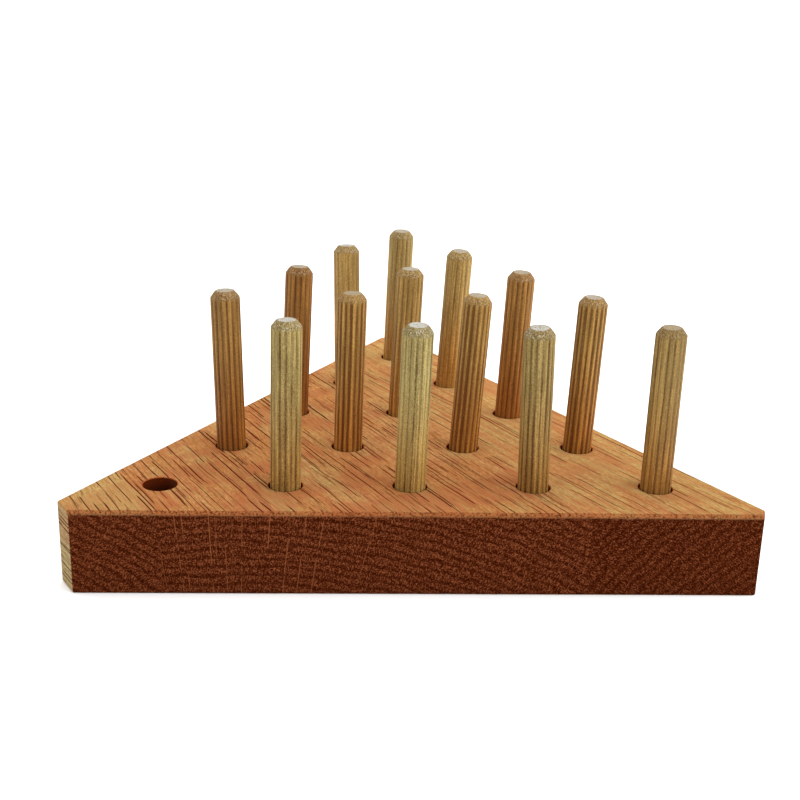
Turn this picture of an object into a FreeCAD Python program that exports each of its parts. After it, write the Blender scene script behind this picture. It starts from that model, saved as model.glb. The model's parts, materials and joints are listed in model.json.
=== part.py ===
"""Peg solitaire: a glued triangular oak board with blind holes and loose fluted wooden pegs.

Frame: millimetres, +X along the front edge to the right, +Y to the back corner, +Z up.
The origin is on the surface the board stands on, under the middle of the board's outline.
The board is drawn from its sharp front left corner, where the triangle would end if no corner
were cut off, and each body is then moved so that the origin is at the middle.
"""

import FreeCAD
import Part
import Sketcher
import math
import os

DIMENSIONS = [
    # Board outline. Margins run from the outer rows of hole centres to the edges.
    ("hole_pitch", 31.75),
    ("front_margin", 17.3),
    ("left_margin", 15.1),
    ("right_margin", 14.6),
    ("board_thickness", 22.0),
    ("left_corner_cut", 7.6),
    ("right_corner_cut_front", 3.4),
    ("right_corner_cut_side", 4.4),
    ("apex_corner_cut", 7.6),
    # Glue joints: along the front edge, from the grain lines of the first and the fourth hole.
    ("left_joint_offset", 7.9),
    ("right_joint_offset", 2.6),
    # Eased edges.
    ("upright_edge_round", 0.5),
    ("front_edge_round", 1.4),
    ("top_edge_round", 0.6),
    ("bottom_edge_round", 0.6),
    # Holes.
    ("hole_diameter", 8.73),
    ("hole_depth", 7.5),
    ("hole_mouth_round", 0.3),
    # Pegs, which are fluted dowel pins.
    ("peg_diameter", 7.94),
    ("peg_length", 50.8),
    ("peg_end_flat", 5.2),
    ("peg_end_taper", 1.3),
    ("flute_count", 16),
    ("flute_depth", 0.28),
    ("flute_cutter_radius", 0.55),
    ("peg_foot_gap", 0.03),
]

# Each peg by (row from the front, place from the left), with how far it leans in its loose hole:
# degrees to the right and degrees to the back. The first hole of the front row is empty.
PEG_LEANS = {
    (1, 2): (0.5, 1.5),
    (1, 3): (1.0, -2.5),
    (1, 4): (-1.5, -3.5),
    (1, 5): (0.0, -1.5),
    (2, 1): (-1.5, 1.5),
    (2, 2): (1.0, 0.5),
    (2, 3): (3.0, 0.0),
    (2, 4): (2.0, -0.5),
    (3, 1): (2.0, 2.5),
    (3, 2): (2.0, 1.5),
    (3, 3): (2.0, -1.0),
    (4, 1): (-1.0, 4.0),
    (4, 2): (2.5, -2.5),
    (5, 1): (1.5, -2.0),
}

# How much further each peg is turned about its own length than the one before, in degrees,
# so that no two of them show the same flutes.
TURN_PER_PEG = 37.0

# The outline's points and the hole centres, as formulas of the sheet in the board's own frame.
FIRST_HOLE_X = "(Sizes.front_margin + 2 * Sizes.left_margin) / sqrt(3)"
FIRST_LINE_X = f"({FIRST_HOLE_X} + Sizes.front_margin / sqrt(3))"
MARGINS = "(Sizes.front_margin + Sizes.left_margin + Sizes.right_margin)"
SIDE = f"(4 * Sizes.hole_pitch + 2 * {MARGINS} / sqrt(3))"
LEFT_JOINT = f"({FIRST_LINE_X} - Sizes.left_joint_offset)"
RIGHT_JOINT = f"({FIRST_LINE_X} + 3 * Sizes.hole_pitch + Sizes.right_joint_offset)"
APEX_CUT = f"({SIDE} - Sizes.apex_corner_cut)"
MIDDLE_X = f"(Sizes.left_corner_cut / 2 + {SIDE} - Sizes.right_corner_cut_side / 2) / 2"
MIDDLE_Y = f"{APEX_CUT} * sqrt(3) / 4"


def up_the_left_edge(distance):
    """The point that far from the sharp front left corner along the board's left edge."""
    return (f"{distance} / 2", f"{distance} * sqrt(3) / 2")


def up_the_right_edge(distance):
    """The point that far from the sharp front right corner along the board's right edge."""
    return (f"{SIDE} - {distance} / 2", f"{distance} * sqrt(3) / 2")


# The three staves. The grain and the glue joints run parallel to the board's right edge.
# corners: the outline, anticlockwise. glued: the sides, by their first corner, that are joints.
# hole_lines: the grain lines of holes that the stave holds, whole or in part, from the left.
STAVES = {
    "left_stave": {
        "corners": [
            ("Sizes.left_corner_cut", "0"),
            (LEFT_JOINT, "0"),
            up_the_left_edge(LEFT_JOINT),
            up_the_left_edge("Sizes.left_corner_cut"),
        ],
        "glued": [1],
        "hole_lines": [],
    },
    "middle_stave": {
        "corners": [
            (LEFT_JOINT, "0"),
            (RIGHT_JOINT, "0"),
            up_the_left_edge(RIGHT_JOINT),
            up_the_left_edge(LEFT_JOINT),
        ],
        "glued": [1, 3],
        "hole_lines": [0, 1, 2, 3],
    },
    "right_stave": {
        "corners": [
            (RIGHT_JOINT, "0"),
            (f"{SIDE} - Sizes.right_corner_cut_front", "0"),
            up_the_right_edge("Sizes.right_corner_cut_side"),
            up_the_right_edge(APEX_CUT),
            up_the_left_edge(APEX_CUT),
            up_the_left_edge(RIGHT_JOINT),
        ],
        "glued": [5],
        "hole_lines": [3, 4],
    },
}


def make_sheet(doc):
    """The driving dimensions, one to a row, with its name beside it."""
    sheet = doc.addObject("Spreadsheet::Sheet", "Sizes")
    for row, (name, value) in enumerate(DIMENSIONS, start=1):
        sheet.set(f"A{row}", name)
        sheet.set(f"B{row}", str(value))
        sheet.setAlias(f"B{row}", name)
    doc.recompute()
    return sheet


def worked_out(formula):
    """What a formula of the sheet comes to now."""
    return float(FreeCAD.ActiveDocument.Sizes.evalExpression(formula))


def new_sketch(body, name, role, height=None):
    """An empty sketch on one of the body's own planes, raised by a formula of the sheet."""
    sketch = body.newObject("Sketcher::SketchObject", f"{body.Label}_{name}")
    plane = [feature for feature in body.Origin.OriginFeatures if feature.Role == role][0]
    sketch.AttachmentSupport = [(plane, "")]
    sketch.MapMode = "FlatFace"
    if height:
        sketch.setExpression(".AttachmentOffset.Base.z", height)
    return sketch


def bind(sketch, kind, elements, name, formula):
    """Adds a dimension to the sketch and drives it from the sheet."""
    constraint = Sketcher.Constraint(kind, *elements, worked_out(formula))
    sketch.renameConstraint(sketch.addConstraint(constraint), name)
    sketch.setExpression(f"Constraints.{name}", formula)


def place_point(sketch, geometry, point, name, x, y):
    """Holds one point of the sketch at (x, y), each 0 or a formula of the sheet."""
    for direction, formula, other_axis in (("X", x, -2), ("Y", y, -1)):
        if formula == "0":
            on_axis = Sketcher.Constraint("PointOnObject", geometry, point, other_axis)
            sketch.addConstraint(on_axis)
        else:
            elements = (-1, 1, geometry, point)
            bind(sketch, f"Distance{direction}", elements, f"{name}_{direction.lower()}", formula)


def draw_outline(sketch, corners):
    """A closed run of straight lines through the corners, every corner driven from the sheet."""
    points = [FreeCAD.Vector(worked_out(x), worked_out(y), 0) for x, y in corners]
    count = len(points)
    for index, point in enumerate(points):
        line = Part.LineSegment(point, points[(index + 1) % count])
        sketch.addGeometry(line, False)
    for index in range(count):
        meet = Sketcher.Constraint("Coincident", index, 2, (index + 1) % count, 1)
        sketch.addConstraint(meet)
    for index, (x, y) in enumerate(corners):
        place_point(sketch, index, 1, f"corner_{index + 1}", x, y)


def draw_circle(sketch, name, x, y, diameter):
    """A circle whose centre and diameter are driven from the sheet."""
    middle = FreeCAD.Vector(worked_out(x), worked_out(y), 0)
    circle = Part.Circle(middle, FreeCAD.Vector(0, 0, 1), worked_out(diameter) / 2)
    index = sketch.addGeometry(circle, False)
    place_point(sketch, index, 3, name, x, y)
    bind(sketch, "Diameter", (index,), f"{name}_diameter", diameter)


def edges_near(shape, points):
    """The names of the shape's edges that pass through any of the points."""
    names = []
    for index, edge in enumerate(shape.Edges, start=1):
        if any(edge.distToShape(Part.Vertex(point))[0] < 1e-4 for point in points):
            names.append(f"Edge{index}")
    return names


def round_edges(body, name, base, points, radius):
    """Rounds the edges that pass through the points."""
    fillet = body.newObject("PartDesign::Fillet", f"{body.Label}_{name}")
    fillet.Base = (base, edges_near(base.Shape, points))
    fillet.setExpression("Radius", radius)
    body.Document.recompute()
    return fillet


def ease_edges(body, pad, stave):
    """Rounds the outer edges, the front one most, and leaves the glue joints sharp."""
    corners = [FreeCAD.Vector(worked_out(x), worked_out(y), 0) for x, y in stave["corners"]]
    top = FreeCAD.Vector(0, 0, worked_out("Sizes.board_thickness"))
    count = len(corners)
    outer = [side for side in range(count) if side not in stave["glued"]]
    middles = [(corners[side] + corners[(side + 1) % count]) / 2 for side in outer]
    uprights = [corners[side] + top / 2 for side in outer if (side - 1) % count in outer]
    tops = [middle + top for middle in middles]
    last = round_edges(body, "front_round", pad, tops[:1], "Sizes.front_edge_round")
    last = round_edges(body, "top_round", last, tops[1:], "Sizes.top_edge_round")
    last = round_edges(body, "bottom_round", last, middles, "Sizes.bottom_edge_round")
    if uprights:
        last = round_edges(body, "upright_round", last, uprights, "Sizes.upright_edge_round")
    return last


def hole_place(row, place):
    """The hole centre's two formulas in the board's own frame. Rows and places count from 1."""
    x = f"{FIRST_HOLE_X} + {place - 1 + (row - 1) / 2} * Sizes.hole_pitch"
    y = f"Sizes.front_margin + {row - 1} * Sizes.hole_pitch * sqrt(3) / 2"
    return x, y


def holes_on_line(line):
    """(row, place) of each hole on one grain line, counted from the left at the front edge."""
    return [(row, line - row + 2) for row in range(1, line + 2)]


def mouth_points(line):
    """Two points on the mouth of each hole of a grain line: its left and right sides across the grain."""
    radius = worked_out("Sizes.hole_diameter") / 2
    top = worked_out("Sizes.board_thickness")
    to_side = FreeCAD.Vector(math.sqrt(3) / 2, 0.5, 0) * radius
    points = []
    for row, place in holes_on_line(line):
        x, y = hole_place(row, place)
        middle = FreeCAD.Vector(worked_out(x), worked_out(y), top)
        points += [middle - to_side, middle + to_side]
    return points


def drill_holes(body, stave):
    """Cuts the blind holes down from the top face and eases their mouths."""
    sketch = new_sketch(body, "holes", "XY_Plane", "Sizes.board_thickness")
    for line in stave["hole_lines"]:
        for row, place in holes_on_line(line):
            name = f"hole_{row}_{place}"
            draw_circle(sketch, name, *hole_place(row, place), "Sizes.hole_diameter")
    pocket = body.newObject("PartDesign::Pocket", f"{body.Label}_pocket")
    pocket.Profile = sketch
    pocket.Reversed = False
    pocket.setExpression("Length", "Sizes.hole_depth")
    body.Document.recompute()
    points = [point for line in stave["hole_lines"] for point in mouth_points(line)]
    return round_edges(body, "mouth_round", pocket, points, "Sizes.hole_mouth_round")


def make_stave(doc, name):
    """One stave of the board, with its eased outer edges and its holes."""
    stave = STAVES[name]
    body = doc.addObject("PartDesign::Body", name)
    body.Label = name
    outline = new_sketch(body, "outline", "XY_Plane")
    draw_outline(outline, stave["corners"])
    pad = body.newObject("PartDesign::Pad", f"{name}_pad")
    pad.Profile = outline
    pad.setExpression("Length", "Sizes.board_thickness")
    doc.recompute()
    last = ease_edges(body, pad, stave)
    if stave["hole_lines"]:
        before = last.Shape.Volume
        last = drill_holes(body, stave)
        if last.Shape.Volume > before - 1:
            raise RuntimeError(f"{name}: the holes cut nothing")
    body.Tip = last
    body.setExpression(".Placement.Base.x", f"-{MIDDLE_X}")
    body.setExpression(".Placement.Base.y", f"-{MIDDLE_Y}")
    doc.recompute()
    return body


def peg_placement(row, place, turn):
    """Stands a peg in its hole: on the hole's floor, leaning about the middle of the hole's depth."""
    x, y = hole_place(row, place)
    depth = worked_out("Sizes.hole_depth")
    floor = worked_out("Sizes.board_thickness") - depth
    pivot = FreeCAD.Vector(
        worked_out(x) - worked_out(MIDDLE_X),
        worked_out(y) - worked_out(MIDDLE_Y),
        floor + depth / 2,
    )
    right, back = (math.tan(math.radians(angle)) for angle in PEG_LEANS[row, place])
    up_the_peg = FreeCAD.Vector(right, back, 1).normalize()
    tilt = up_the_peg.getAngle(FreeCAD.Vector(0, 0, 1))
    foot_height = floor + worked_out("Sizes.peg_foot_gap")
    foot_height += worked_out("Sizes.peg_end_flat") / 2 * math.sin(tilt)
    foot = pivot - up_the_peg * ((pivot.z - foot_height) / up_the_peg.z)
    lean = FreeCAD.Rotation(FreeCAD.Vector(0, 0, 1), up_the_peg)
    return FreeCAD.Placement(foot, lean * FreeCAD.Rotation(FreeCAD.Vector(0, 0, 1), turn))


def make_peg(doc, name, placement):
    """One fluted dowel pin with tapered ends, standing on its own origin."""
    body = doc.addObject("PartDesign::Body", name)
    body.Label = name
    profile = new_sketch(body, "profile", "XZ_Plane")
    shoulder = "Sizes.peg_length - Sizes.peg_end_taper"
    half_section = [
        ("0", "0"),
        ("Sizes.peg_end_flat / 2", "0"),
        ("Sizes.peg_diameter / 2", "Sizes.peg_end_taper"),
        ("Sizes.peg_diameter / 2", shoulder),
        ("Sizes.peg_end_flat / 2", "Sizes.peg_length"),
        ("0", "Sizes.peg_length"),
    ]
    draw_outline(profile, half_section)
    pin = body.newObject("PartDesign::Revolution", f"{name}_pin")
    pin.Profile = profile
    pin.ReferenceAxis = (profile, ["V_Axis"])
    pin.Angle = 360
    doc.recompute()
    section = new_sketch(body, "flute_section", "XY_Plane")
    cutter_x = "Sizes.peg_diameter / 2 + Sizes.flute_cutter_radius - Sizes.flute_depth"
    draw_circle(section, "cutter", cutter_x, "0", "2 * Sizes.flute_cutter_radius")
    flute = body.newObject("PartDesign::Pocket", f"{name}_flute")
    flute.Profile = section
    flute.Type = "ThroughAll"
    flute.Reversed = True
    doc.recompute()
    flutes = body.newObject("PartDesign::PolarPattern", f"{name}_flutes")
    flutes.Originals = [flute]
    flutes.Axis = (section, ["N_Axis"])
    flutes.Angle = 360
    flutes.setExpression("Occurrences", "Sizes.flute_count")
    body.Tip = flutes
    doc.recompute()
    one_flute = pin.Shape.Volume - flute.Shape.Volume
    all_flutes = pin.Shape.Volume - flutes.Shape.Volume
    if one_flute < 1 or all_flutes < 0.9 * worked_out("Sizes.flute_count") * one_flute:
        raise RuntimeError(f"{name}: the flutes are not all cut")
    body.Placement = placement
    doc.recompute()
    return body


def check(doc, bodies):
    """Stops if any object failed or any sub-part has no sound solid."""
    for thing in doc.Objects:
        if "Invalid" in thing.State or "Error" in thing.State:
            raise RuntimeError(f"{thing.Label} failed: {thing.State}")
    for body in bodies:
        shape = body.Shape
        if shape.isNull() or not shape.isValid() or len(shape.Solids) != 1:
            raise RuntimeError(f"{body.Label} is not one sound solid")


def main():
    doc = FreeCAD.newDocument("peg_solitaire")
    make_sheet(doc)
    bodies = [make_stave(doc, name) for name in STAVES]
    for number, (row, place) in enumerate(PEG_LEANS):
        placement = peg_placement(row, place, number * TURN_PER_PEG)
        bodies.append(make_peg(doc, f"peg_row{row}_{place}", placement))
    check(doc, bodies)
    os.makedirs("parts", exist_ok=True)
    for body in bodies:
        body.Shape.exportStep(f"parts/{body.Label}.step")
        box = body.Shape.BoundBox
        print(body.Label, "volume", round(body.Shape.Volume, 1), "box", box)


main()
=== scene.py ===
"""The looks of a peg solitaire: a glued triangular oak board and its loose fluted wooden pegs."""

import json
import math
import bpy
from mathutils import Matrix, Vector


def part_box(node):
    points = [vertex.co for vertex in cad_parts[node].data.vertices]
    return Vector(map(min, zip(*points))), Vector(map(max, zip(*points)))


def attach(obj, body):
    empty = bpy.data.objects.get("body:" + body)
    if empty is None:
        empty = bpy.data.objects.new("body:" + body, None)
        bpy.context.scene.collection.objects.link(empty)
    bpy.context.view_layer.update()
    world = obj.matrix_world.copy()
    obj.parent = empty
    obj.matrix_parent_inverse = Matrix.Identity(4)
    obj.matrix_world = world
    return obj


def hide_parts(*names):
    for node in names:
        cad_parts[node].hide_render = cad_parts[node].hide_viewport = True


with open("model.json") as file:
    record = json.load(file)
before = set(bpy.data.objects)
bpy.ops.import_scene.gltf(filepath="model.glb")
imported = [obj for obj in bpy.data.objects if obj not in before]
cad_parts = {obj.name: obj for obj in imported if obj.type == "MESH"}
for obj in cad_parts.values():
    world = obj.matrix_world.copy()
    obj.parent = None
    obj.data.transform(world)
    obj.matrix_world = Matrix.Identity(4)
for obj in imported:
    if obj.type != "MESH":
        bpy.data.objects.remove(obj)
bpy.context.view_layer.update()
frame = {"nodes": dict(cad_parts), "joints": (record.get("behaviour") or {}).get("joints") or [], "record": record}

from types import SimpleNamespace

import bpy
import numpy as np
from mathutils import Matrix, Vector, noise

MM = 0.001  # one millimetre, in the scene's metres
WHITE = (1.0, 1.0, 1.0, 1.0)
HOLE_PITCH = 31.75  # millimetres between neighbouring holes
SPARE_HOLE = {mount["name"]: mount for mount in frame["record"]["mounts"]}["spare_hole"]
HOLE_RADIUS = SPARE_HOLE["dims"]["r_mm"]


# ---------------------------------------------------------------------------------------------
# Shader nodes written as formulas
# ---------------------------------------------------------------------------------------------

class Value:
    """One output of a shader node. Arithmetic on it adds Math nodes, so a pattern reads as a formula."""

    def __init__(self, shader, socket):
        self.shader = shader
        self.socket = socket

    def __add__(self, other):
        return self.shader.math("ADD", self, other)

    def __radd__(self, other):
        return self.shader.math("ADD", other, self)

    def __sub__(self, other):
        return self.shader.math("SUBTRACT", self, other)

    def __rsub__(self, other):
        return self.shader.math("SUBTRACT", other, self)

    def __mul__(self, other):
        return self.shader.math("MULTIPLY", self, other)

    def __rmul__(self, other):
        return self.shader.math("MULTIPLY", other, self)

    def __truediv__(self, other):
        return self.shader.math("DIVIDE", self, other)


class Shader:
    """A material under construction, with short names for the nodes that the woods share."""

    def __init__(self, name):
        self.material = bpy.data.materials.new(name)
        self.material.use_nodes = True
        self.nodes = self.material.node_tree.nodes
        self.links = self.material.node_tree.links
        self.nodes.clear()

    def feed(self, socket, value):
        """Links a Value to an input, or sets the input to a plain number, colour or vector."""
        if isinstance(value, Value):
            self.links.new(value.socket, socket)
        else:
            socket.default_value = value

    def math(self, operation, *values):
        node = self.nodes.new("ShaderNodeMath")
        node.operation = operation
        for socket, value in zip(node.inputs, values):
            self.feed(socket, value)
        return Value(self, node.outputs[0])

    def absolute(self, value):
        return self.math("ABSOLUTE", value)

    def largest(self, *values):
        result = values[0]
        for value in values[1:]:
            result = self.math("MAXIMUM", result, value)
        return result

    def dot(self, vector, direction):
        node = self.nodes.new("ShaderNodeVectorMath")
        node.operation = "DOT_PRODUCT"
        self.feed(node.inputs[0], vector)
        self.feed(node.inputs[1], direction)
        return Value(self, node.outputs["Value"])

    def vector(self, x, y, z=0.0):
        node = self.nodes.new("ShaderNodeCombineXYZ")
        for socket, value in zip(node.inputs, (x, y, z)):
            self.feed(socket, value)
        return Value(self, node.outputs[0])

    def parts(self, vector):
        """The x, y and z of a vector."""
        node = self.nodes.new("ShaderNodeSeparateXYZ")
        self.feed(node.inputs[0], vector)
        return [Value(self, socket) for socket in node.outputs]

    def place(self):
        """The point's place in the board, in millimetres."""
        coordinates = self.nodes.new("ShaderNodeTexCoord")
        node = self.nodes.new("ShaderNodeVectorMath")
        node.operation = "SCALE"
        node.inputs["Scale"].default_value = 1 / MM
        self.links.new(coordinates.outputs["Object"], node.inputs[0])
        return Value(self, node.outputs[0])

    def normal(self):
        """The direction that the surface faces."""
        node = self.nodes.new("ShaderNodeNewGeometry")
        return Value(self, node.outputs["Normal"])

    def attribute(self, name, output="Fac"):
        """A value that the mesh keeps for each of its points."""
        node = self.nodes.new("ShaderNodeAttribute")
        node.attribute_name = name
        return Value(self, node.outputs[output])

    def smooth(self, value, low, high, to_low=0.0, to_high=1.0):
        """Goes smoothly from to_low to to_high as value goes from low to high."""
        node = self.nodes.new("ShaderNodeMapRange")
        node.interpolation_type = "SMOOTHSTEP"
        for socket, number in zip(node.inputs[:5], (value, low, high, to_low, to_high)):
            self.feed(socket, number)
        return Value(self, node.outputs[0])

    def noise(self, vector, scale=1.0, detail=2.0, roughness=0.5):
        node = self.nodes.new("ShaderNodeTexNoise")
        self.feed(node.inputs["Vector"], vector)
        node.inputs["Scale"].default_value = scale
        node.inputs["Detail"].default_value = detail
        node.inputs["Roughness"].default_value = roughness
        return Value(self, node.outputs["Fac"])

    def cells(self, vector):
        """Uneven cells that fill a plane: a random colour for the point's cell, and its seed's place."""
        node = self.nodes.new("ShaderNodeTexVoronoi")
        node.voronoi_dimensions = "2D"
        self.feed(node.inputs["Vector"], vector)
        node.inputs["Scale"].default_value = 1.0
        return Value(self, node.outputs["Color"]), Value(self, node.outputs["Position"])

    def stripes(self, value):
        """Uneven stripes across one direction: distance to the nearest one, and a random number for it."""
        node = self.nodes.new("ShaderNodeTexVoronoi")
        node.voronoi_dimensions = "1D"
        self.feed(node.inputs["W"], value)
        node.inputs["Scale"].default_value = 1.0
        pick, _, _ = self.parts(Value(self, node.outputs["Color"]))
        return Value(self, node.outputs["Distance"]), pick

    def mix(self, share, first, second, blend="MIX"):
        """Colour first turning into colour second as share goes from 0 to 1."""
        node = self.nodes.new("ShaderNodeMix")
        node.data_type = "RGBA"
        node.blend_type = blend
        self.feed(node.inputs[0], share)
        self.feed(node.inputs[6], first)
        self.feed(node.inputs[7], second)
        return Value(self, node.outputs[2])

    def times(self, first, second):
        """Two colours multiplied."""
        return self.mix(1.0, first, second, blend="MULTIPLY")

    def finish(self, colour, roughness, height, bump_depth, specular):
        """Adds the surface shader, with the height, in millimetres, as bump."""
        bump = self.nodes.new("ShaderNodeBump")
        bump.inputs["Strength"].default_value = bump_depth
        bump.inputs["Distance"].default_value = MM
        self.feed(bump.inputs["Height"], height)
        surface = self.nodes.new("ShaderNodeBsdfPrincipled")
        self.feed(surface.inputs["Base Color"], colour)
        self.feed(surface.inputs["Roughness"], roughness)
        surface.inputs["Specular IOR Level"].default_value = specular
        self.links.new(bump.outputs["Normal"], surface.inputs["Normal"])
        output = self.nodes.new("ShaderNodeOutputMaterial")
        self.links.new(surface.outputs[0], output.inputs["Surface"])
        return self.material


def shade(red, green, blue):
    """A colour given as it looks on a screen, 0 to 255, as the linear colour that shaders take."""
    linear = []
    for level in (red, green, blue):
        level /= 255
        linear.append(level / 12.92 if level <= 0.04045 else ((level + 0.055) / 1.055) ** 2.4)
    return (*linear, 1.0)


def between(first, second, share):
    """The plain colour a share of the way from first to second."""
    return tuple(start + (end - start) * share for start, end in zip(first, second))


# ---------------------------------------------------------------------------------------------
# Red oak
# ---------------------------------------------------------------------------------------------

GRAIN_ANGLE = -60.0  # degrees from +X: the board's right edge and its glue joints
RING_WIDTH = 2.25  # millimetres of growth in a year
RAY_SPACING = 2.0  # millimetres between the wider rays, on average
LOG_RADIUS = 150.0  # millimetres from the pith, where the way round it is measured as a length
UNDER_HOLES = 12.0  # millimetres up from the floor: no hole reaches as low as this

# Each stave was sawn from another place in its log.
# turn: how far its grain runs off the glue joint, in degrees.
# pith: the heart of the log, across the grain and up, in millimetres.
# red, yellow: how much of the top is stained red, and how much is pale.
# pores: how wide and how many the dark dashes are.
# striped, ringed: how strongly the year's rings show on the top, and on the ends.
# rays: how strongly the pale rays show on the ends.
# shift: how far the rays are moved along the rings, in millimetres.
# dark: how dark the end grain is.
STAVE_CUTS = {
    "left_stave": {
        "turn": -2.5, "pith": (-168.0, -85.0),
        "red": 0.08, "yellow": 1.1, "pores": 1.0,
        "striped": 0.15, "ringed": 0.15, "rays": 1.0, "shift": 0.0, "dark": -0.03,
    },
    "middle_stave": {
        "turn": -2.5, "pith": (-74.0, -119.0),
        "red": 0.6, "yellow": 0.55, "pores": 1.1,
        "striped": 0.35, "ringed": 0.15, "rays": 0.8, "shift": 19.3, "dark": -0.03,
    },
    "right_stave": {
        "turn": 0.0, "pith": (115.0, -75.0),
        "red": 0.12, "yellow": 0.85, "pores": 0.6,
        "striped": 0.9, "ringed": 0.12, "rays": 0.1, "shift": 0.0, "dark": 0.025,
    },
}

# Colours of the long grain, the end grain, the rounded edges and the holes, with painted shade inside the holes.
OAK_YELLOW = shade(163, 133, 84)
OAK_TAN = shade(163, 119, 75)
OAK_ORANGE = shade(158, 102, 58)
OAK_RED = shade(142, 74, 50)
OAK_PORE = shade(66, 17, 4)
OAK_END_DARK = shade(22, 4, 0)
OAK_END = shade(56, 18, 4)
OAK_END_LIGHT = shade(118, 64, 38)
OAK_RAY = shade(128, 73, 42)
OAK_EDGE = shade(134, 74, 40)
OAK_EDGE_PIT = shade(54, 18, 4)
OAK_RIM = shade(150, 70, 32)
# Painted shade inside the holes: on the walls, and darker towards the floors.
OAK_HOLE_SHADE = shade(70, 22, 5)
OAK_HOLE_FLOOR_SHADE = shade(20, 4, 2)

# What the long grain's colour is multiplied by.
OAK_FLECK_DARK = (0.8, 0.72, 0.66, 1.0)
OAK_FLECK_LIGHT = (1.16, 1.16, 1.14, 1.0)
OAK_PAINTED_FRONT_SHADE = (0.91, 0.9, 0.88, 1.0)  # painted shade: the front of the top darker, to match the shade the pegs cast further back
OAK_PAINTED_BACK_LIGHT = (1.12, 1.16, 1.14, 1.0)  # painted light: the back of the top paler, against the shade the pegs cast there
OAK_UPRIGHT = (0.92, 1.19, 1.6, 1.0)  # upright faces, planed but less oiled


def measure(shader, cut):
    """How the oak's pattern measures a point: in the board, in the log, in the year and by its face."""
    at = SimpleNamespace()
    angle = math.radians(GRAIN_ANGLE + cut["turn"])
    grain = (math.cos(angle), math.sin(angle), 0.0)
    cross = (-math.sin(angle), math.cos(angle), 0.0)

    # In the board, in millimetres. Across the grain it wanders a little, as real grain does.
    spot = shader.place()
    at.x, at.y, at.up = shader.parts(spot)
    at.along = shader.dot(spot, grain)
    plain_across = shader.dot(spot, cross)
    wander = shader.noise(shader.vector(plain_across * 0.05, at.along * 0.02, cut["turn"]))
    at.across = plain_across + (wander - 0.5) * 3.2

    # In the log, in millimetres: how far from the pith, and how far round it.
    pith_across, pith_up = cut["pith"]
    from_pith = at.across - pith_across
    above_pith = at.up - pith_up
    at.radius = shader.math("SQRT", from_pith * from_pith + above_pith * above_pith)
    at.around = shader.math("ARCTAN2", from_pith, above_pith) * LOG_RADIUS

    # In the year: 1 in the porous band that grows early, 0 in the denser wood.
    waver = shader.noise(shader.vector(at.across * 0.09, at.along * 0.03, at.up * 0.09), detail=3.0)
    ripple = shader.noise(shader.vector(at.around * 0.5, at.along * 0.1, at.radius * 0.2), detail=2.0)
    years = at.radius / RING_WIDTH + (waver - 0.5) * 1.8 + (ripple - 0.5) * 0.5
    season = shader.math("FRACT", years)
    at.early = shader.smooth(season, 0.0, 0.15) * shader.smooth(season, 0.55, 0.25)

    # By its face: level or upright, and cut along the fibres, across them, or on a rounded edge.
    normal = shader.normal()
    _, _, normal_up = shader.parts(normal)
    end_facing = shader.absolute(shader.dot(normal, grain))
    at.crumble = shader.noise(spot, 2.0, detail=3.0, roughness=0.65)
    upright = shader.smooth(normal_up + (at.crumble - 0.5) * 0.5, 0.52, 0.2)
    at.level = shader.smooth(shader.absolute(normal_up), 0.3, 0.6)
    at.end = shader.smooth(end_facing, 0.45, 0.7) * upright
    at.edge = shader.smooth(end_facing, 0.06, 0.3) * shader.smooth(normal_up, 0.15, 0.4)

    # On a face along the fibres: across it and along it.
    on_face = shader.mix(at.level, shader.vector(at.up, at.along), shader.vector(at.across, at.along))
    at.face_across, at.face_along, _ = shader.parts(on_face)
    return at


def dashes(shader, at, aside, spacing, length, width, plenty):
    """Short dark lines along the grain, where long open pores are cut lengthways.

    One line at most stands in each cell of spacing by length; plenty says how many cells have one.
    """
    across = at.face_across + aside
    along = at.face_along
    colour, seed = shader.cells(shader.vector(across / spacing, along / length))
    seed_across, seed_along, _ = shader.parts(seed)
    pick, size, _ = shader.parts(colour)
    off_line = shader.absolute(across / spacing - seed_across) * spacing
    off_middle = shader.absolute(along / length - seed_along)
    reach = shader.smooth(off_middle, 0.48, 0.3)
    half_width = (0.45 + 0.55 * size) * reach * (width / 2)
    line = shader.smooth(1.0 - off_line / (half_width + 0.001), -0.3, 0.3)
    return line * shader.smooth(pick, 0.9 - 0.6 * plenty, 1.2 - 0.45 * plenty)


def all_dashes(shader, cut, at):
    """Long, middling and short dashes; the short ones stand mostly in the early wood."""
    plenty = cut["pores"]
    width = 0.28 + 0.12 * plenty
    long = dashes(shader, at, 0.0, 3.0, 32.0, width, plenty)
    middling = dashes(shader, at, 17.0, 2.1, 17.0, width, plenty)
    short = dashes(shader, at, 31.0, 1.2, 6.0, width * 0.7, plenty)
    return shader.largest(long, middling, short * (0.2 + 0.6 * at.early))


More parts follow.
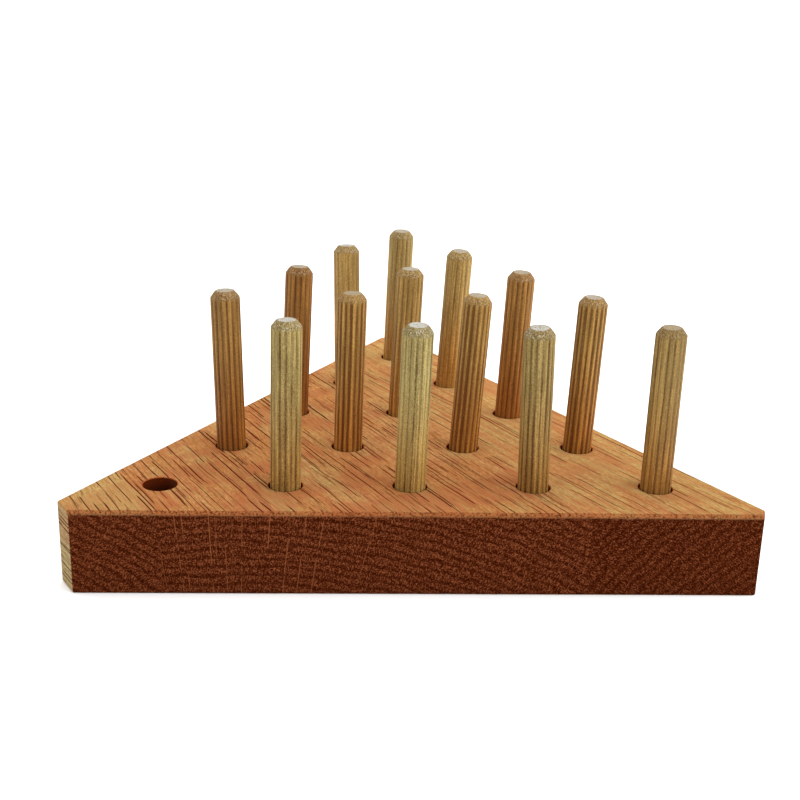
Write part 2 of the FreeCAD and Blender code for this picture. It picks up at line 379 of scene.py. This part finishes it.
def long_grain(shader, cut, at, pores):
    """The colour of faces along the fibres, and the pits in their rounded edges."""
    turn = cut["turn"]
    face_across = at.face_across
    face_along = at.face_along
    patches = shader.noise(shader.vector(at.across * 0.16, at.along * 0.03, at.up * 0.1), detail=3.0)
    ruddy = shader.noise(shader.vector(at.across * 0.11, at.along * 0.035, 5.0 + turn), detail=2.0)
    streaks = shader.noise(shader.vector(face_across * 1.2, face_along * 0.05, 3.1), detail=4.0)
    hair = shader.noise(shader.vector(face_across * 4.2, face_along * 0.18, 7.3), detail=3.0)
    flecks = shader.noise(shader.vector(face_across * 3.4, face_along * 0.7, 8.7), detail=2.0)
    clouds = shader.noise(shader.vector(face_across * 0.045, face_along * 0.12, 9.9 + turn), detail=2.0)

    red = cut["red"]
    yellow = cut["yellow"]
    pale = shader.smooth(patches, 0.66 - 0.3 * yellow, 0.78 - 0.25 * yellow)
    colour = shader.mix(pale, OAK_TAN, OAK_YELLOW)
    colour = shader.mix(shader.smooth(ruddy, 0.42, 0.6) * red, colour, OAK_ORANGE)
    colour = shader.mix(at.early * (0.55 * cut["striped"]), colour, OAK_ORANGE)
    red_flecks = shader.smooth(flecks, 0.44, 0.56) * shader.smooth(clouds, 0.48, 0.58) * at.level
    colour = shader.mix(red_flecks * (0.35 + 0.3 * red), colour, OAK_RED)
    colour = shader.mix(shader.smooth(streaks, 0.54, 0.7) * (0.25 + 0.35 * red), colour, OAK_RED)
    colour = shader.mix(shader.smooth(streaks, 0.48, 0.3) * 0.5, colour, OAK_YELLOW)
    colour = shader.mix(shader.smooth(hair, 0.5, 0.68) * (0.35 + 0.4 * red), colour, OAK_RED)

    fleck_tint = shader.mix(shader.smooth(flecks, 0.3, 0.7), OAK_FLECK_DARK, OAK_FLECK_LIGHT)
    # Painted light and shade: darker at the front of the top and paler at its back, evening out the pegs' shade.
    painted_light_front_to_back = shader.mix(shader.smooth(at.y, -80.0, 20.0), OAK_PAINTED_FRONT_SHADE, OAK_PAINTED_BACK_LIGHT)
    colour = shader.times(colour, fleck_tint)
    colour = shader.times(colour, shader.mix(at.level, OAK_UPRIGHT, WHITE))
    colour = shader.times(colour, shader.mix(at.level, WHITE, painted_light_front_to_back))
    colour = shader.mix(pores * 0.95, colour, OAK_PORE)

    # Rounded edges that cut across the fibres crumble: an orange band with dark pits.
    pits = shader.smooth(at.crumble, 0.47, 0.66)
    colour = shader.mix(at.edge * 0.65, colour, OAK_EDGE)
    return shader.mix(at.edge * pits * 0.8, colour, OAK_EDGE_PIT), pits


def end_grain(shader, cut, at):
    """The colour of faces across the fibres, dark and oily, and its speckle."""
    around = at.around
    radius = at.radius
    speckle = shader.noise(shader.vector(around * 3.7, radius * 3.1, 1.7), detail=0.0)
    fine_rays = shader.noise(shader.vector(around * 3.9, radius * 0.9, 4.0), detail=0.0)
    rings = at.early * cut["ringed"]
    tone = 0.62 + (speckle - 0.5) + (fine_rays - 0.5) * 0.55 - rings - cut["dark"]
    colour = shader.mix(shader.smooth(tone, 0.05, 0.5), OAK_END_DARK, OAK_END)
    colour = shader.mix(shader.smooth(tone, 0.5, 1.0), colour, OAK_END_LIGHT)

    # The wider rays sway, break off and come back, and are fainter on one side of the log.
    sway = (shader.noise(shader.vector(around * 0.15, radius * 0.12, 2.0)) - 0.5) * 0.4
    gap, strength = shader.stripes((around + sway + cut["shift"]) / RAY_SPACING)
    breaks = shader.noise(shader.vector(around * 0.3, radius * 0.14, 6.0))
    rays = shader.smooth(gap * RAY_SPACING, 0.13, 0.04) * shader.smooth(breaks, 0.38, 0.5)
    rays = rays * shader.smooth(strength, 0.35, 0.8) * cut["rays"]
    rays = rays * shader.smooth(around, 12.0, 40.0, 1.0, 0.45)
    colour = shader.mix(rays, colour, OAK_RAY)

    # Painted contact shadow: a dark line where the board meets the table.
    return shader.mix(shader.smooth(at.up, 0.6, 0.1) * 0.7, colour, OAK_END_DARK), speckle


def from_hole_axis(shader, x, y):
    """Distance to the axis of the nearest hole, in millimetres. The holes stand on a triangular grid."""
    hole_x, hole_y, _ = SPARE_HOLE["pos_m"]
    row_step = HOLE_PITCH * math.sqrt(3) / 2
    from_row = (y - hole_y / MM) / row_step
    row = shader.math("ROUND", from_row)
    from_place = (x - hole_x / MM) / HOLE_PITCH - row * 0.5
    off_x = (from_place - shader.math("ROUND", from_place)) * HOLE_PITCH
    off_y = (from_row - row) * row_step
    return shader.math("SQRT", off_x * off_x + off_y * off_y)


def hole_rims_and_shade(shader, at, colour):
    """Reddens the mouths of the holes, and darkens their walls with painted shade, darkest at their floors."""
    distance = from_hole_axis(shader, at.x, at.y)
    above = shader.smooth(at.up, UNDER_HOLES, UNDER_HOLES + 1.0)
    mouth = shader.smooth(distance, HOLE_RADIUS + 0.45, HOLE_RADIUS + 0.1) * above
    inside = shader.smooth(distance, HOLE_RADIUS + 0.08, HOLE_RADIUS - 0.02) * above
    # Painted shade inside the holes: dark walls, near black towards the floors.
    hole_shade = shader.mix(shader.smooth(at.up, 20.8, 17.5), OAK_HOLE_SHADE, OAK_HOLE_FLOOR_SHADE)
    colour = shader.mix(mouth * 0.6, colour, OAK_RIM)
    return shader.mix(inside * 0.9, colour, hole_shade)


def oak(stave):
    """Oak for one stave: one solid pattern of rings, rays and pores, cut by whichever face shows it."""
    cut = STAVE_CUTS[stave]
    shader = Shader(f"oak_{stave}")
    at = measure(shader, cut)
    pores = all_dashes(shader, cut, at)
    lengthways, pits = long_grain(shader, cut, at, pores)
    endways, speckle = end_grain(shader, cut, at)
    colour = hole_rims_and_shade(shader, at, shader.mix(at.end, lengthways, endways))
    height = (speckle - 0.5) * at.end * 0.12 - pores * 0.15 - pits * at.edge * 0.2
    return shader.finish(colour, 0.5 + 0.15 * at.end, height, 0.6, 0.0)


# ---------------------------------------------------------------------------------------------
# Pegs
# ---------------------------------------------------------------------------------------------

FLUTES = 16
STEPS_PER_FLUTE = 12
POINTS_ROUND = FLUTES * STEPS_PER_FLUTE
FLUTE_DEPTH = 0.34  # millimetres
END_TAPER = 1.8  # millimetres of blunt, crumbly shoulder at each end
END_FLAT = 0.63  # the flat end's width, as a share of the peg's
END_STEPS = 14  # rings of faces along each crumbly end
BODY_STEPS = 12  # rings of faces along half of the side between the ends
END_RINGS = 7  # rings of faces from an end's rim to its middle
WOOD_STEP = 60.0  # millimetres between the places that two neighbouring pegs' wood comes from

PEG_PALE = shade(131, 116, 68)
PEG_TAN = shade(137, 102, 46)
PEG_BROWN = shade(122, 74, 21)
PEG_END = shade(166, 165, 157)
PEG_END_TAN = shade(132, 110, 74)
PEG_END_DARK = shade(104, 88, 58)
PEG_CRUMB = shade(66, 46, 20)

# What the colours of pale and of tan pegs are multiplied by: near the board, for painted shade and warm
# bounce light from the board; in their flutes, for painted shade; and in their light streaks.
PALE_FOOT_SHADE_AND_BOUNCE = (1.06, 0.79, 0.55, 1.0)
TAN_FOOT_SHADE_AND_BOUNCE = (1.02, 0.7, 0.43, 1.0)
PALE_FLUTE_SHADE = (0.36, 0.25, 0.14, 1.0)
TAN_FLUTE_SHADE = (0.5, 0.35, 0.18, 1.0)
LIGHT_STREAK = (1.9, 1.95, 2.2, 1.0)

# How each peg's wood looks, by (row, place): share of tan, share of brown, how wide its flutes are,
# how deep they are and how much painted shade darkens them, how pale its ends are, and how light it is as a whole.
PEG_WOOD = {
    (1, 2): (0.2, 0.0, 0.95, 0.55, 0.9, 0.95),
    (1, 3): (0.05, 0.0, 0.75, 0.45, 1.0, 0.94),
    (1, 4): (0.35, 0.0, 0.75, 0.6, 0.9, 0.88),
    (1, 5): (0.55, 0.05, 0.8, 0.5, 0.15, 0.77),
    (2, 1): (0.85, 0.3, 0.95, 0.65, 0.5, 0.83),
    (2, 2): (0.8, 0.15, 1.15, 0.75, 0.2, 1.1),
    (2, 3): (0.8, 0.05, 1.2, 0.75, 0.45, 1.12),
    (2, 4): (0.8, 0.15, 1.15, 0.75, 0.5, 1.0),
    (3, 1): (1.0, 0.6, 0.95, 0.6, 0.4, 0.86),
    (3, 2): (0.7, 0.0, 0.95, 0.45, 0.55, 1.06),
    (3, 3): (0.8, 0.5, 0.85, 0.55, 0.35, 1.0),
    (4, 1): (0.6, 0.05, 0.75, 0.25, 0.9, 1.03),
    (4, 2): (0.5, 0.05, 0.75, 0.3, 0.5, 1.1),
    (5, 1): (0.4, 0.0, 0.75, 0.3, 0.5, 1.03),
}


class Skin:
    """A peg's points and faces, in millimetres from its middle, and what its material reads there."""

    def __init__(self):
        self.points = []
        self.faces = []
        self.wood = []  # the point's place in the wood, before the peg was pressed and torn
        self.cavity = []  # how deep in a flute it is
        self.torn = []  # how near the crumbly ends it is: 1 on them

    def add(self, point, wood, cavity, torn):
        self.points.append(point)
        self.wood.append(wood)
        self.cavity.append(cavity)
        self.torn.append(torn)

    def bridge(self, first, second, side=1):
        """Joins two rings of points, each given by its first point, with faces that look outwards."""
        for step in range(POINTS_ROUND):
            after = (step + 1) % POINTS_ROUND
            quad = (first + step, first + after, second + after, second + step)
            self.faces.append(quad if side > 0 else quad[::-1])

    def fan(self, rim, centre, side):
        """Joins a ring of points to one point in its middle."""
        for step in range(POINTS_ROUND):
            triangle = (rim + step, rim + (step + 1) % POINTS_ROUND, centre)
            self.faces.append(triangle if side > 0 else triangle[::-1])


def peg_frame(node, axis):
    """The middle of a peg, its own length and width, and the axes that it stands on."""
    along = Vector(axis).normalized()
    right = Vector((1.0, 0.0, 0.0))
    right = (right - along * right.dot(along)).normalized()
    back = along.cross(right)
    low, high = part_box(node)
    middle = (low + high) / 2
    points = [vertex.co - middle for vertex in frame["nodes"][node].data.vertices]
    heights = [point.dot(along) for point in points]
    widths = [(point - along * height).length for point, height in zip(points, heights)]
    turn = Matrix((right, back, along)).transposed().to_4x4()
    return middle, max(heights) - min(heights), 2 * max(widths), turn


def peg_heights(length):
    """Heights of the rings of points, from the middle: close together at the crumbly ends."""
    reach = length / 2
    crumbly = END_TAPER * 1.7
    end = [reach - crumbly * (step / END_STEPS) for step in range(END_STEPS + 1)]
    body = [(reach - crumbly) * (1 - step / BODY_STEPS) for step in range(1, BODY_STEPS + 1)]
    upper = end + body
    return [-height for height in upper[:-1]] + upper[::-1]


def make_side(skin, length, radius, flute_width, flute_depth_and_shade, seed):
    """The side of a peg, from its foot to its top: uneven pressed flutes between crumbly shoulders."""
    chance = np.random.default_rng(seed)
    flute_turn = chance.uniform(0, 2 * math.pi)
    depths = FLUTE_DEPTH * chance.uniform(0.65, 1.0, FLUTES) * (0.5 + 0.7 * flute_depth_and_shade)
    halves = flute_width * chance.uniform(0.75, 1.1, FLUTES) * 0.42
    flute_pitch = 2 * math.pi * radius / FLUTES
    heights = peg_heights(length)
    for height in heights:
        from_end = length / 2 - abs(height)
        rise = min(1.0, from_end / END_TAPER)
        shoulder = END_FLAT + (1 - END_FLAT) * rise ** 0.85
        flute_fade = min(1.0, max(0.0, (from_end - 0.25 * END_TAPER) / (1.3 * END_TAPER)))
        torn = max(0.0, 1 - from_end / (1.6 * END_TAPER))
        for step in range(POINTS_ROUND):
            flute, offset = divmod(step + STEPS_PER_FLUTE / 2, STEPS_PER_FLUTE)
            flute = int(flute) % FLUTES
            off_middle = (offset / STEPS_PER_FLUTE - 0.5) * flute_pitch
            dip = math.exp(-((off_middle / halves[flute]) ** 2)) * flute_fade
            angle = flute_turn + 2 * math.pi * step / POINTS_ROUND
            outwards = Vector((math.cos(angle), math.sin(angle), 0.0))
            spot = outwards * radius + Vector((0.0, 0.0, height))
            tear = noise.noise(spot * 1.7 + Vector((seed, 0, 0))) + 0.6 * noise.noise(spot * 4.1)
            ripple = noise.noise(Vector((spot.x, spot.y, spot.z * 0.12)) * 1.3 + Vector((0, seed, 0)))
            reach = radius * shoulder - depths[flute] * dip
            reach -= torn * 0.16 * max(0.0, 0.5 + tear) + 0.035 * max(0.0, 0.5 + ripple)
            point = outwards * reach + Vector((0.0, 0.0, height))
            skin.add(point, spot, dip * depths[flute] / FLUTE_DEPTH, min(torn, 0.8))
    for ring in range(len(heights) - 1):
        skin.bridge(ring * POINTS_ROUND, (ring + 1) * POINTS_ROUND)


def close_end(skin, first, side, seed):
    """Closes the foot (side -1) or the top (side 1) of a peg with rough end grain."""
    rim = [point.copy() for point in skin.points[first:first + POINTS_ROUND]]
    level = rim[0].z
    outer = first
    for ring in range(1, END_RINGS):
        share = 1 - ring / END_RINGS
        inner = len(skin.points)
        for edge in rim:
            x = edge.x * share
            y = edge.y * share
            bite = max(0.0, 0.5 + noise.noise(Vector((x * 1.9, y * 1.9, seed + side))))
            skin.add(Vector((x, y, level - side * 0.09 * bite)), Vector((x, y, level)), 0.0, 1.0)
        skin.bridge(outer, inner, side)
        outer = inner
    centre = len(skin.points)
    skin.add(Vector((0.0, 0.0, level - side * 0.05)), Vector((0.0, 0.0, level)), 0.0, 1.0)
    skin.fan(outer, centre, side)


def store(mesh, name, kind, values):
    """Keeps one value for each point of the mesh, for the material to read."""
    layer = mesh.attributes.new(name, kind, "POINT")
    key = "vector" if kind == "FLOAT_VECTOR" else "value"
    layer.data.foreach_set(key, np.array(values, dtype=np.float32).ravel())


def make_peg(row, place, axis):
    """A pressed, fluted dowel pin with blunt, torn ends, in place of the plain one."""
    node = f"peg_row{row}_{place}"
    seed = row * 10 + place
    _, _, flute_width, flute_depth_and_shade, _, _ = PEG_WOOD[row, place]
    middle, length, width, turn = peg_frame(node, axis)
    length = length / MM
    radius = width / MM / 2
    skin = Skin()
    make_side(skin, length, radius, flute_width, flute_depth_and_shade, seed)
    top = len(skin.points) - POINTS_ROUND
    close_end(skin, 0, -1, seed)
    close_end(skin, top, 1, seed)
    mesh = bpy.data.meshes.new(f"{node}_pin")
    mesh.from_pydata([turn @ (point * MM) + middle for point in skin.points], [], skin.faces)
    mesh.shade_smooth()
    own_wood = Vector((0.0, 0.0, seed * WOOD_STEP))
    store(mesh, "wood", "FLOAT_VECTOR", [spot + own_wood for spot in skin.wood])
    store(mesh, "cavity", "FLOAT", skin.cavity)
    store(mesh, "torn", "FLOAT", skin.torn)
    store(mesh, "length_up", "FLOAT", [point.z / (0.7 * length) + 0.5 for point in skin.points])
    pin = bpy.data.objects.new(f"{node}_pin", mesh)
    bpy.context.scene.collection.objects.link(pin)
    mesh.materials.append(peg_wood(row, place))
    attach(pin, node)
    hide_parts(node)


def peg_wood(row, place):
    """Raw dowel wood for one peg: straight fibres, painted shade in the flutes, painted shade and warm bounce
    light towards the foot, and pale, torn ends.
    """
    tan, brown, _, flute_depth_and_shade, paleness, lightness = PEG_WOOD[row, place]
    base = between(between(PEG_PALE, PEG_TAN, tan), PEG_BROWN, brown)
    base = tuple(level * lightness for level in base)
    # Painted shade: the dark end of the side's tone is deepened for the flutes.
    dark = tuple(level * share for level, share in zip(base, between(PALE_FLUTE_SHADE, TAN_FLUTE_SHADE, tan)))
    light = tuple(level * share for level, share in zip(base, LIGHT_STREAK))
    # Painted shade and warm bounce light near the board.
    foot = between(PALE_FOOT_SHADE_AND_BOUNCE, TAN_FOOT_SHADE_AND_BOUNCE, tan)
    end_colour = between(PEG_END_TAN, PEG_END, paleness)

    shader = Shader(f"dowel_{row}_{place}")
    spot = shader.attribute("wood", "Vector")
    cavity = shader.attribute("cavity")
    torn = shader.attribute("torn")
    length_up = shader.attribute("length_up")
    x, y, z = shader.parts(spot)

    # The side: fibres, broad bands and grit, with painted shade in the flutes, and painted shade and warm bounce
    # light towards the foot.
    fibres = shader.noise(shader.vector(x * 3.0, y * 3.0, z * 0.09), detail=3.0)
    bands = shader.noise(shader.vector(x * 0.45, y * 0.45, z * 0.015), detail=1.0)
    grit = shader.noise(shader.vector(x * 4.2, y * 4.2, z * 2.8), detail=1.0)
    tone = 0.68 + (bands - 0.5) * 0.9 + (fibres - 0.5) * 1.5 + (grit - 0.5) * (1.4 - 0.4 * tan)
    # Painted shade: deep in the flutes the tone drops towards the dark colour.
    tone = tone - shader.smooth(cavity, 0.05, 0.8) * flute_depth_and_shade
    colour = shader.mix(shader.smooth(tone, -0.1, 0.5), dark, base)
    colour = shader.mix(shader.smooth(tone, 0.5, 1.1), colour, light)
    # Painted shade and warm bounce light: darker and warmer towards the foot, near the board.
    colour = shader.times(colour, shader.mix(shader.smooth(length_up, 0.0, 1.0), foot, WHITE))

    # The crumbly shoulders, and the rough flat ends.
    crumbs = shader.noise(spot, 3.2, detail=2.0)
    shoulder = shader.mix(shader.smooth(crumbs, 0.4, 0.54), PEG_CRUMB, base)
    shoulder = shader.mix(shader.smooth(crumbs, 0.54, 0.68), shoulder, end_colour)
    end = shader.mix(shader.smooth(crumbs, 0.32, 0.55), PEG_END_DARK, end_colour)
    colour = shader.mix(shader.smooth(torn, 0.1, 0.5) * 0.75, colour, shoulder)
    colour = shader.mix(shader.smooth(torn, 0.8, 0.95), colour, end)
    height = (fibres - 0.5) * 0.06 + (grit - 0.5) * 0.08
    return shader.finish(colour, 0.6, height, 0.7, 0.2)


# ---------------------------------------------------------------------------------------------
# Studio
# ---------------------------------------------------------------------------------------------

CAMERA_PLACE = (-0.018154, -0.359486, 0.151158)  # metres
CAMERA_RIGHT = 2.761  # degrees that the camera looks to the right of straight back
CAMERA_DOWN = 19.325  # degrees that it looks down
CAMERA_ROLL = 1.535  # degrees that it is rolled over
LENS = 57.6  # millimetres, on a sensor 36 mm wide

# Soft square lights that face the board: where each stands, its width, both in metres, and its watts.
LIGHTS = {
    "key": ((0.85, -0.35, 0.55), 0.8, 7.0),
    "overhead": ((0.0, 0.25, 1.2), 1.2, 10.0),
}
LIT_POINT = Vector((0.0, 0.0, 0.02))  # metres
SURROUND = 1.12  # how bright the even white surround is
FLOOR_COLOUR = (0.93, 0.93, 0.93, 1.0)
FLOOR_REACH = 3.0  # metres from the middle of the floor to its edges


def make_camera():
    camera = bpy.data.cameras.new("camera")
    camera.lens = LENS
    camera.sensor_width = 36.0
    camera.clip_start = 0.01
    camera_object = bpy.data.objects.new("camera", camera)
    bpy.context.scene.collection.objects.link(camera_object)
    turn = Matrix.Rotation(math.radians(-CAMERA_RIGHT), 4, "Z")
    turn = turn @ Matrix.Rotation(math.radians(90 - CAMERA_DOWN), 4, "X")
    turn = turn @ Matrix.Rotation(math.radians(CAMERA_ROLL), 4, "Z")
    camera_object.matrix_world = Matrix.Translation(CAMERA_PLACE) @ turn
    bpy.context.scene.camera = camera_object


def make_light(name, place, size, watts):
    light = bpy.data.lights.new(name, "AREA")
    light.size = size
    light.energy = watts
    light_object = bpy.data.objects.new(name, light)
    bpy.context.scene.collection.objects.link(light_object)
    aim = LIT_POINT - Vector(place)
    light_object.rotation_euler = aim.to_track_quat("-Z", "Y").to_euler()
    light_object.location = place


def make_floor():
    corners = [(-1, -1), (1, -1), (1, 1), (-1, 1)]
    mesh = bpy.data.meshes.new("floor")
    mesh.from_pydata([(x * FLOOR_REACH, y * FLOOR_REACH, 0.0) for x, y in corners], [], [(0, 1, 2, 3)])
    floor = bpy.data.objects.new("floor", mesh)
    bpy.context.scene.collection.objects.link(floor)
    mesh.materials.append(Shader("floor").finish(FLOOR_COLOUR, 0.9, 0.0, 0.0, 0.0))


def make_surround():
    world = bpy.data.worlds.new("surround")
    world.use_nodes = True
    background = world.node_tree.nodes["Background"]
    background.inputs["Color"].default_value = WHITE
    background.inputs["Strength"].default_value = SURROUND
    bpy.context.scene.world = world


make_camera()
make_floor()
make_surround()
for name, (place, size, watts) in LIGHTS.items():
    make_light(name, place, size, watts)
bpy.context.scene.view_settings.view_transform = "Standard"

for stave in STAVE_CUTS:
    for material_slot in frame["nodes"][stave].material_slots:
        material_slot.material = oak(stave)
axes = {joint["child"]: joint["axis"] for joint in frame["joints"]}
for row, place in PEG_WOOD:
    make_peg(row, place, axes[f"peg_row{row}_{place}"])
